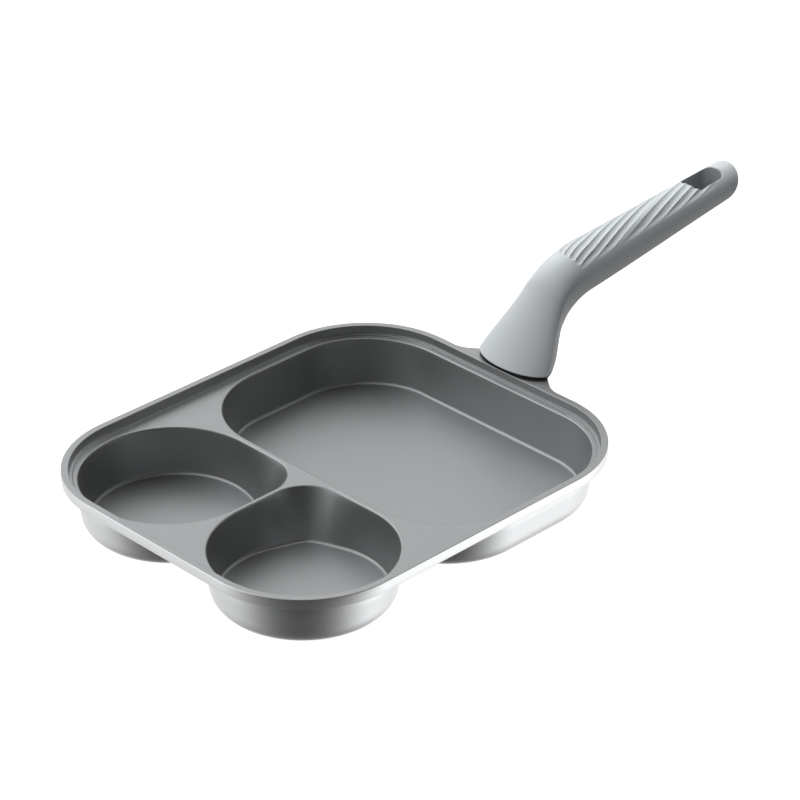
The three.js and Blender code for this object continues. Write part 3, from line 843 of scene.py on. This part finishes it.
@dataclass
class Handle:
    """The moulded handle: bowed foot, bent neck, grip with twisted flutes and a hanging slot."""

    foot_x: float = 125.5
    foot_z: float = 37.5
    foot_depth: float = 33.4
    foot_half_width: float = 25.6
    foot_front: float = 10.3
    foot_fullness: float = 0.955
    foot_round: float = 0.35
    foot_steps: int = 4
    foot_flat: float = 0.92
    neck_angles: tuple[float, float] = (49.7, 55.8)
    neck_half_width: float = 15.2
    neck_share: float = 0.26
    bend_radii: tuple[float, float] = (48.5, 37.7)
    grip_tilt: float = 5.54
    grip_origin: tuple[float, float] = (196.2, 78.7)
    grip_length: float = 117.05
    grip_half_width: float = 14.7
    tip_half_width: float = 12.0
    grip_top: tuple[float, float] = (14.7, 11.15)
    grip_under: tuple[float, float] = (14.1, 9.6)
    grip_share: float = 0.5
    tip_lean: float = 5.3
    tip_round: float = 6.5
    tip_fullness: float = 4.4
    tip_flat: float = 1e-6
    tip_rings: int = 32
    slot_half: tuple[float, float] = (12.0, 7.5)
    slot_corner: float = 4.5
    slot_middle: float = 96.7
    slot_round: float = 0.9
    slot_sink: float = 0.12
    slot_past: float = 6.0
    slot_top: float = 40.0
    slot_steps: int = 6
    slot_segments: int = 10
    slot_straight: float = 1.0
    columns: int = 64
    fineness: int = 4
    flute_columns: tuple[float, float] = (3.0, 3.55)
    land_columns: float = 2.0
    land_column: float = 15.0
    flute_depth: float = 0.92
    flute_hollow: float = 0.65
    flute_pitch: float = 310.0
    flute_lead: float = 11.2
    flute_tilt: float = 5.5
    flute_step: float = 0.7
    step_spacing: float = 0.35
    step_rings: int = 8
    neck_rings: int = 36
    bend_rings: tuple[int, int] = (30, 14)
    grip_rings: int = 84
    flute_end: float = 1.6
    flute_fade: tuple[float, float] = (42.0, 58.0)
    flute_runout: tuple[float, float] = (19.5, 32.5)
    screw_height: float = 14.0
    seat_wall: float = 4.6
    recess_radius: float = 5.5
    bore_radius: float = 2.8
    bore_past: float = 5.0
    bore_segments: int = 48
    socket_gap: float = 0.35

    def _grip(self, along: float, up: float) -> Vector:
        """Point in the XZ plane, along the grip's axis and above it."""
        tilt = math.radians(self.grip_tilt)
        x, z = self.grip_origin
        return Vector((
            x + along * math.cos(tilt) - up * math.sin(tilt),
            z + along * math.sin(tilt) + up * math.cos(tilt),
        ))

    @cached_property
    def _top(self) -> Rail:
        """Front and top edge of the side view."""
        start = self._grip(0, self.grip_top[0])
        end = self._grip(self.grip_length + self.tip_lean, self.grip_top[1])
        return Rail(Vector((self.foot_x, self.foot_z)), self.neck_angles[0], self.bend_radii[0], start, end)

    @cached_property
    def _under(self) -> Rail:
        """Back and under edge of the side view."""
        start = self._grip(0, -self.grip_under[0])
        end = self._grip(self.grip_length - self.tip_lean, -self.grip_under[1])
        foot = Vector((self.foot_x + self.foot_depth, self.foot_z))
        return Rail(foot, self.neck_angles[1], self.bend_radii[1], start, end)

    @cached_property
    def _flute_start(self) -> float:
        """Station where the flutes begin."""
        return 2 - self.flute_lead / self._top.lengths[1]

    def _flute(self, column: float, angle: float, station: float) -> float:
        """Depth of the flutes.

        Args:
            column: Place round the handle, counted in the flutes' columns.
            angle: Angle from the top.
            station: Place along the handle.

        Returns:
            The depth in millimetres.
        """
        around = (column - self.land_column + self.columns / 2) % self.columns - self.columns / 2
        past = abs(around) - self.land_columns / 2
        begun = self._top.along(station) - self._top.along(self._flute_start)
        if past <= 0 or begun <= 0:
            return 0.0
        width = self.flute_columns[0 if around < 0 else 1]
        hollow = math.sin(math.pi * (past % width) / width) ** self.flute_hollow
        start = smoothstep(begun - self.flute_end * (1 - hollow), 0, self.flute_step)
        from_top = abs(math.degrees(math.remainder(angle, math.tau)))
        from_tip = self._top.along(3) - self._top.along(station)
        fade = 1 - smoothstep(from_top, *self.flute_fade)
        return self.flute_depth * hollow * start * fade * smoothstep(from_tip, *self.flute_runout)

    def _lean(self, station: float) -> float:
        """Lean of a ring: most where the flutes begin, none from the end of the bend on."""
        away = abs(station - self._flute_start) / (2 - self._flute_start)
        return self.flute_tilt * max(1 - away, 0)

    def _skin_place(self, station: float, scale: float, inset: float = 0.0) -> Callable[[float], Vector]:
        """Prepares one ring of the skin.

        Args:
            station: Place along the handle.
            scale: Size of the ring, less than 1 at the tip.
            inset: Distance inwards, for the rounding of the foot's edge.

        Returns:
            A function that gives the place of a column on the ring.
        """
        top = self._top.at(station - self._lean(station) / self._top.lengths[1])
        under = self._under.at(station + self._lean(station) / self._under.lengths[1])
        foot_share = self.foot_front / self.foot_depth
        share = eased(station, (foot_share, self.neck_share, self.grip_share, self.grip_share))
        middle = top.lerp(under, share)
        half = eased(
            station, (self.foot_half_width, self.neck_half_width, self.grip_half_width, self.tip_half_width)
        )
        fullness = lerp(self.foot_fullness, 1, min(station, 1))
        turned = max(self._top.along(station) - self._top.along(self._flute_start), 0)

        def place(column: float) -> Vector:
            """Place of a column on this ring."""
            angle = (turned / self.flute_pitch - column / self.columns) * math.tau
            edge = top if math.cos(angle) > 0 else under
            side = (edge - middle) * arch(math.sin(angle), fullness)
            spoke = Vector((side.x, half * math.sin(angle), side.y))
            length = spoke.length * scale - inset - self._flute(column, angle, station)
            return Vector((middle.x, 0, middle.y)) + spoke.normalized() * length

        return place

    def _stations(self) -> list[tuple[float, float]]:
        """Stations of the skin's rings after the foot, with the size of each ring."""
        top = self._top
        begin = self._flute_start
        stepped = begin + self.step_rings * (self.step_spacing / top.lengths[1])
        tip_start = 3 - self.tip_round / top.lengths[2]
        spans = [
            (0, 1, self.neck_rings), (1, begin, self.bend_rings[0]), (begin, stepped, self.step_rings),
            (stepped, 2, self.bend_rings[1]), (2, tip_start, self.grip_rings),
        ]
        found = [(lerp(a, b, (k + 1) / count), 1.0) for a, b, count in spans for k in range(count)]
        for k in range(self.tip_rings):
            turn = math.sin((k + 1) / self.tip_rings * math.pi / 2)
            size = max(1 - turn**self.tip_fullness, self.tip_flat) ** (1 / self.tip_fullness)
            found.append((tip_start + (3 - tip_start) * turn, size))
        return found

    def build(self) -> bpy.types.Object:
        """Models, cuts and dresses the handle.

        Returns:
            The piece that stands for the CAD handle.
        """
        bm = bmesh.new()
        column = bm.verts.layers.float.new("column")
        count = self.columns * self.fineness
        circle = bmesh.ops.create_circle(bm, cap_ends=False, segments=count, radius=1)["verts"]
        place = self._skin_place(0, self.foot_flat)
        for index, vert in enumerate(circle):
            vert[column] = index / self.fineness
            vert.co = place(vert[column])
        rings = [list(bm.edges)]
        reach = self.foot_round / self._top.lengths[0]
        edge = [
            (reach * (1 - math.cos(turn)), 1.0, self.foot_round * (1 - math.sin(turn)))
            for turn in quarter_turn(self.foot_steps)
        ]
        for station, size, inset in [*edge, *((*pair, 0.0) for pair in self._stations())]:
            place = self._skin_place(station, size, inset)
            rings.append(grow(bm, rings[-1], lambda vert: place(vert[column])))
        cap(bm, rings[0])
        cap(bm, rings[-1])
        made = to_object(bm, "handle_moulding")
        carve(made, [self._slot_cutter(), self._socket_cutter(), *self._screw_cutters()])
        finish_piece(made, "handle", [GREY_MOULDING.material()])
        return made

    def _slot_cutter(self) -> bpy.types.Object:
        """Makes the cutter of the hanging slot, flared where it meets the skin.

        Returns:
            A closed object.
        """
        bm = bmesh.new()
        (dx, dy), x = self.slot_half, self.slot_middle
        box = RoundedBox((x - dx, -dy), (x + dx, dy), (self.slot_corner,) * 4)

        def height(point: Vector, sign: int) -> float:
            """Height of the skin over the grip's axis, above or below."""
            share = point.x / self.grip_length
            over, below = lerp(*self.grip_top, share), lerp(*self.grip_under, share)
            half = lerp(self.grip_half_width, self.tip_half_width, share)
            bow = math.sqrt(1 - min(abs(point.y) / half, 0.99) ** 2)
            return (over - below) / 2 + sign * (over + below) / 2 * bow

        wide, past = self.slot_round, self.slot_past
        flare = [
            (wide * (1 - math.sin(turn)), wide * (self.slot_sink + math.cos(turn) - 1))
            for turn in quarter_turn(self.slot_steps)
        ]
        steps = [(wide, past, 1), *((grown, up, 1) for grown, up in flare)]
        steps += [*((grown, -up, -1) for grown, up in reversed(flare)), (wide, -past, -1)]
        ring = box.ring(bm, wide, self.slot_top, self.slot_segments, self.slot_straight)
        cap(bm, ring)
        for grown, up, sign in steps:
            def place(vert: BMVert) -> Vector:
                """Place of a vertex at this step."""
                moved = box.at(vert.co, grown, 0)
                return Vector((moved.x, moved.y, height(moved, sign) + up))

            ring = grow(bm, ring, place)
        cap(bm, ring)
        x, z = self.grip_origin
        turn = Matrix.Rotation(-math.radians(self.grip_tilt), 4, "Y")
        bmesh.ops.transform(bm, matrix=Matrix.Translation((x, 0, z)) @ turn, verts=bm.verts)
        return to_object(bm, "slot_cutter")

    def _socket_cutter(self) -> bpy.types.Object:
        """Makes the cutter of the socket round the casting's stub.

        Returns:
            A closed object.
        """
        bm = bmesh.new()
        Casting().stub_prism(bm, self.socket_gap, closed=True)
        return to_object(bm, "socket_cutter")

    def _screw_cutters(self) -> list[bpy.types.Object]:
        """Makes the cutters of the screw's recess and bore, square to the neck's back.

        Returns:
            Closed objects.
        """
        cast = Casting()
        lean = math.radians(90 - self.neck_angles[1])
        axis = Vector((math.cos(lean), 0, -math.sin(lean)))
        up = self.screw_height
        middle = Vector((cast.stub_x + up * cast.stub_lean, 0, cast.height + up))
        seat = middle + axis * ((cast.stub_half[0] + self.socket_gap) * math.cos(lean) + self.seat_wall)
        turn = axis.to_track_quat("Z", "Y").to_matrix().to_4x4()
        made = []
        for name, radius, start, end in (
            ("recess_cutter", self.recess_radius, 0.0, self.foot_depth),
            ("bore_cutter", self.bore_radius, -self.seat_wall - self.bore_past, self.bore_past),
        ):
            bm = bmesh.new()
            shift = Matrix.Translation(seat + axis * (start + end) / 2)
            bmesh.ops.create_cone(
                bm, cap_ends=True, segments=self.bore_segments, radius1=radius, radius2=radius,
                depth=end - start, matrix=shift @ turn,
            )
            made.append(to_object(bm, name))
        return made


@dataclass
class Fastening:
    """The gasket under the foot, and the screw with its washers."""

    steel: tuple[str, ...] = ("flat_washer", "spring_washer", "handle_screw")

    def dress(self) -> list[bpy.types.Object]:
        """Gives the CAD nodes their finishes.

        Returns:
            The dressed nodes.
        """
        # The gasket's near-black finish is partly painted shade for the gap under the handle's foot.
        rubber, zinc = BLACK_RUBBER_AND_GAP_SHADE.material(), ZINC_STEEL.material()
        made = []
        for name, material in (("foot_gasket", rubber), *((node, zinc) for node in self.steel)):
            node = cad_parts[name]
            node.data.materials.clear()
            node.data.materials.append(material)
            made.append(node)
        return made


@dataclass(frozen=True)
class SoftBox:
    """A soft patch of light in the surround.

    Its place is in degrees to the right of the camera's heading and over level.
    """

    right: float
    over: float
    strength: float
    sharpness: float = 7.0

    def direction(self, heading: float) -> Vector:
        """Direction towards the patch."""
        turn, tilt = heading - math.radians(self.right), math.radians(self.over)
        return Vector((math.cos(turn) * math.cos(tilt), math.sin(turn) * math.cos(tilt), math.sin(tilt)))


@dataclass(frozen=True)
class KeyLamp(SoftBox):
    """A wide lamp that lights the pan but doesn't show in its gloss, as through a polariser."""

    spread: float = 0.7

    def hang(self, name: str, heading: float) -> None:
        """Hangs the lamp.

        Args:
            name: Name of the lamp.
            heading: The camera's heading in radians.
        """
        data = bpy.data.lights.new(name, "SUN")
        data.energy = math.pi * self.strength
        data.angle = self.spread
        made = bpy.data.objects.new(name, data)
        made.rotation_euler = self.direction(heading).to_track_quat("Z", "Y").to_euler()
        made.visible_glossy = False
        bpy.context.scene.collection.objects.link(made)


@dataclass
class Studio:
    """Camera, pale floor and soft light."""

    eye: tuple[float, float, float] = (-1.03868, -1.10402, 0.92470)
    forward: tuple[float, float, float] = (0.6104, 0.6202, -0.4928)
    lens: float = 148.49
    sensor: float = 36.0
    pixel: float = 1 / 800
    backdrop: float = 1.0
    floor_glow: float = 0.97
    floor_half: float = 20.0
    soft_boxes: tuple[SoftBox, ...] = (
        SoftBox(-135, -28, 0.043), SoftBox(-90, -28, 0.620), SoftBox(-45, -28, 0.511), SoftBox(0, -28, 0.655),
        SoftBox(45, -28, 0.587), SoftBox(90, -28, 1.180), SoftBox(135, -28, 0.068),
        SoftBox(-90, 12, 0.530), SoftBox(45, 12, 0.554), SoftBox(90, 12, 0.232),
        SoftBox(-120, 45, 0.453), SoftBox(-60, 45, 1.204), SoftBox(0, 45, 1.056), SoftBox(0, -88, 0.030, 5.0),
        SoftBox(-120, 28, 0.464, 25.0), SoftBox(-90, 28, 0.849, 25.0), SoftBox(-55, 28, 0.291, 25.0),
        SoftBox(-25, 28, 0.551, 25.0), SoftBox(40, 28, 0.324, 25.0), SoftBox(-70, 62, 0.275, 25.0),
        SoftBox(-110, 5, 0.440, 25.0), SoftBox(80, 5, 0.303, 25.0),
    )
    lamps: tuple[KeyLamp, ...] = (KeyLamp(-150, 30, 0.504), KeyLamp(-35, 25, 1.366), KeyLamp(0, 60, 2.491))

    def build(self) -> None:
        """Sets up the studio."""
        bpy.context.scene.view_settings.view_transform = "Standard"
        self._camera()
        self._floor()
        self._surround()
        for number, lamp in enumerate(self.lamps):
            lamp.hang(f"key_lamp_{number}", self._heading())

    def _heading(self) -> float:
        """The camera's heading in radians."""
        return math.atan2(self.forward[1], self.forward[0])

    def _camera(self) -> None:
        """Places the camera at the photograph's viewpoint."""
        data = bpy.data.cameras.new("camera")
        data.lens = self.lens
        data.sensor_width = self.sensor
        data.shift_x = -0.5 * self.pixel
        data.shift_y = 0.5 * self.pixel
        made = bpy.data.objects.new("camera", data)
        made.location = self.eye
        made.rotation_euler = Vector(self.forward).to_track_quat("-Z", "Y").to_euler()
        bpy.context.scene.collection.objects.link(made)
        bpy.context.scene.camera = made

    def _floor(self) -> None:
        """Lays the pale floor, clear from below and left out of the pan's light."""
        bm = bmesh.new()
        bmesh.ops.create_grid(bm, x_segments=2, y_segments=2, size=self.floor_half)
        mesh = bpy.data.meshes.new("floor")
        bm.to_mesh(mesh)
        bm.free()
        made = bpy.data.objects.new("floor", mesh)
        bpy.context.scene.collection.objects.link(made)
        pale = PALE_FLOOR.material()
        make = NodeMaker(pale.node_tree)
        shader = pale.node_tree.nodes["Principled BSDF"]
        make.set(shader, {"Emission Color": (1, 1, 1, 1), "Emission Strength": self.floor_glow})
        below = make.add("NewGeometry", {})["Backfacing"]
        clear = make.add("BsdfTransparent", {})["BSDF"]
        both = make.add("MixShader", {0: below, 1: shader.outputs["BSDF"], 2: clear})["Shader"]
        make.set(pale.node_tree.nodes["Material Output"], {"Surface": both})
        made.data.materials.append(pale)
        made.visible_glossy = False
        made.visible_diffuse = False
        made.visible_shadow = False

    def _surround(self) -> None:
        """Sets the soft boxes into a dark surround, with a pale backdrop for the camera alone."""
        world = bpy.data.worlds.new("surround")
        bpy.context.scene.world = world
        world.use_nodes = True
        make = NodeMaker(world.node_tree)
        where = make.add("TexCoord", {})["Generated"]
        heading = self._heading()
        light = 0.0
        for box in self.soft_boxes:
            towards, sharp = box.direction(heading), box.sharpness
            near = make.add("VectorMath", {0: where, 1: towards}, operation="DOT_PRODUCT")["Value"]
            fall = make.add("Math", {0: near, 1: sharp, 2: -sharp}, operation="MULTIPLY_ADD")["Value"]
            glow = make.add("Math", {0: fall}, operation="EXPONENT")["Value"]
            light = make.add("Math", {0: glow, 1: box.strength, 2: light}, operation="MULTIPLY_ADD")["Value"]
        seen = make.add("LightPath", {})["Is Camera Ray"]
        shown = make.add("Mix", {"Factor": seen, "A": light, "B": self.backdrop})["Result"]
        make.set(world.node_tree.nodes["Background"], {"Color": (1, 1, 1, 1), "Strength": shown})


def main() -> None:
    """Builds the pan and its studio, and reports each piece."""
    logging.basicConfig(level=logging.INFO, format="%(name)s: %(message)s")
    Studio().build()
    for made in (Casting().build(), Handle().build(), *Fastening().dress()):
        made.data.calc_loop_triangles()
        LOG.info("%s: %d triangles", made.name, len(made.data.loop_triangles))
    bpy.context.view_layer.update()


if __name__ == "__main__":
    main()
